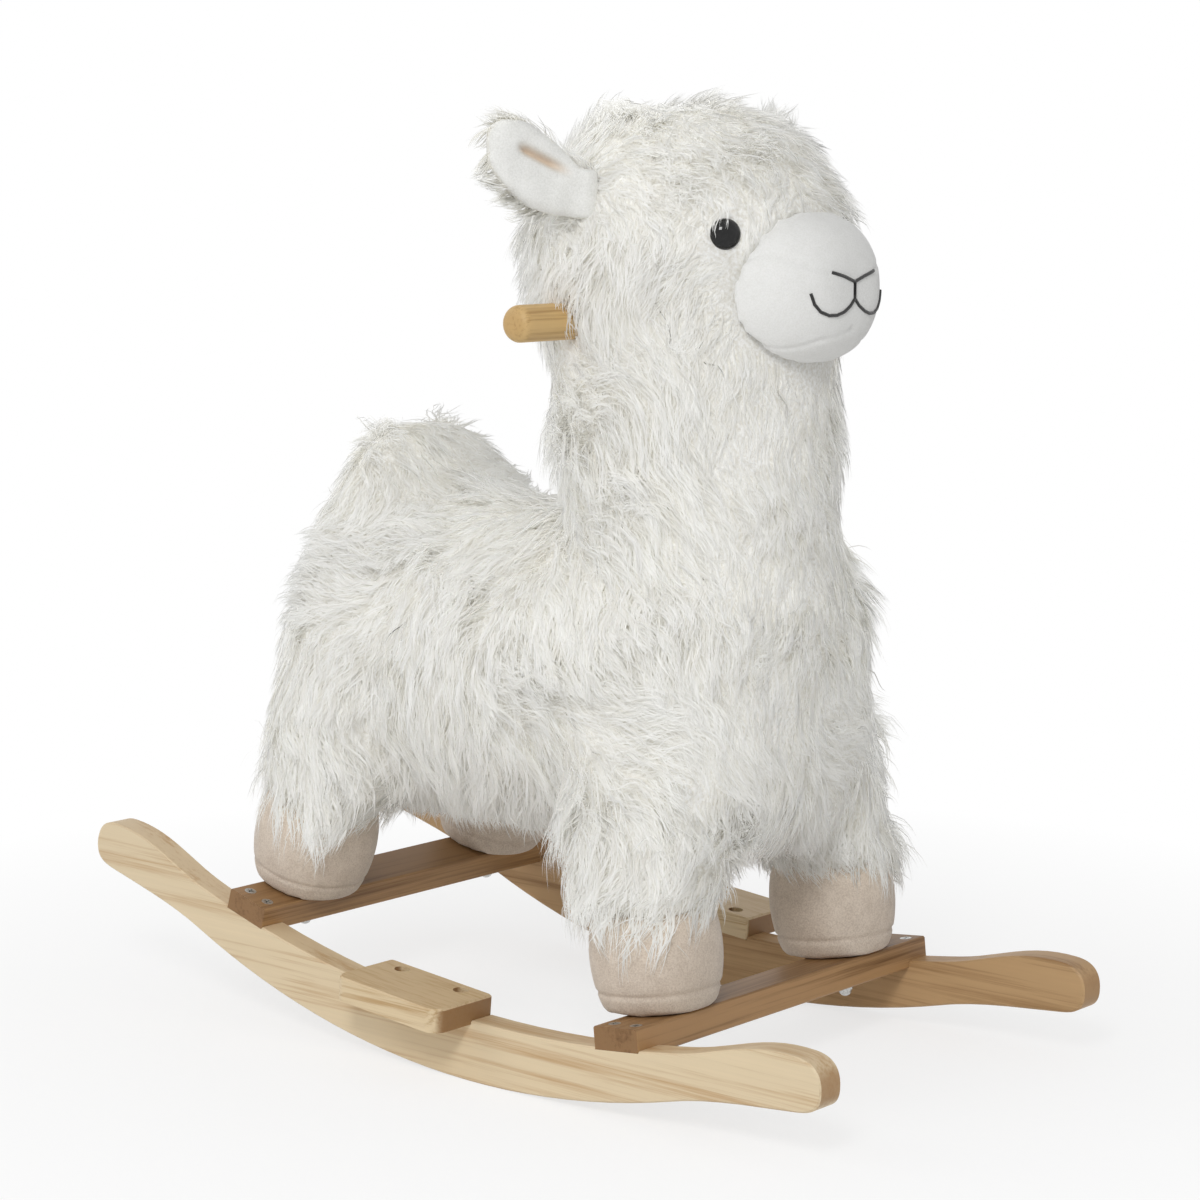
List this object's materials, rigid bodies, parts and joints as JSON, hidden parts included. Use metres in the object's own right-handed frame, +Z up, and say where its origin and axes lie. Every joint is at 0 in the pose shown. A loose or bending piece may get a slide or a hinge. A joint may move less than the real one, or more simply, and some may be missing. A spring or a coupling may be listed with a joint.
{
  "type": "rocking horse",
  "caption": "Stuffed long-haired alpaca ride-on toy on curved wooden runners, with cross slats, footrests and a dowel handle through the neck.",
  "frame": {"origin": "on the floor, under the middle of the toy's length and width", "axes": "+X the way the animal faces, +Y to its left, +Z up, with the toy at rest on its runners"},
  "size_m": [0.6298, 0.366, 0.604],
  "materials": {
    "pale_wood": "clear matt lacquer",
    "brown_wood": "brown stain",
    "dowel_wood": "clear matt lacquer",
    "frame_wood": "raw pine",
    "long_plush": "long wavy pile",
    "smooth_plush": "short brushed pile",
    "short_plush": "short brushed pile",
    "black_plastic": "glossy",
    "white_plastic": "moulded",
    "zinc_steel": "zinc plated"
  },
  "bodies": {
    "toy": {"dome_nuts": "zinc_steel", "eye_left": "black_plastic", "eye_right": "black_plastic", "eye_washers": "white_plastic", "footrest_left": "pale_wood", "footrest_right": "pale_wood", "footrest_screws": "zinc_steel", "front_crossbeam": "frame_wood", "front_slat": "brown_wood", "handle_dowel": "dowel_wood", "handle_screw": "zinc_steel", "head": "long_plush", "hoof_front_left": "short_plush", "hoof_front_right": "short_plush", "hoof_rear_left": "short_plush", "hoof_rear_right": "short_plush", "leg_front_left": "long_plush", "leg_front_right": "long_plush", "leg_post_front_left": "frame_wood", "leg_post_front_right": "frame_wood", "leg_post_rear_left": "frame_wood", "leg_post_rear_right": "frame_wood", "leg_rear_left": "long_plush", "leg_rear_right": "long_plush", "leg_studs": "zinc_steel", "muzzle": "smooth_plush", "neck": "long_plush", "neck_post": "frame_wood", "neck_screws": "zinc_steel", "post_screws": "zinc_steel", "rear_crossbeam": "frame_wood", "rear_slat": "brown_wood", "rocker_left": "pale_wood", "rocker_right": "pale_wood", "seat_board": "frame_wood", "seat_screws": "zinc_steel", "slat_screws": "zinc_steel", "stud_washers": "zinc_steel", "torso": "long_plush"},
    "ear_right": {"ear_right": "long_plush"},
    "ear_left": {"ear_left": "long_plush"}
  },
  "joints": [
    {"name": "ear_right_flop", "type": "hinge", "parent": "toy", "child": "ear_right", "pos_m": [0.08566, -0.09155, 0.553], "axis": [0, 0, 1], "range_deg": [-15, 15], "stiffness_Nm_per_rad": 0.05},
    {"name": "ear_left_flop", "type": "hinge", "parent": "toy", "child": "ear_left", "pos_m": [0.08566, 0.09155, 0.553], "axis": [0, 0, 1], "range_deg": [-15, 15], "stiffness_Nm_per_rad": 0.05}
  ]
}
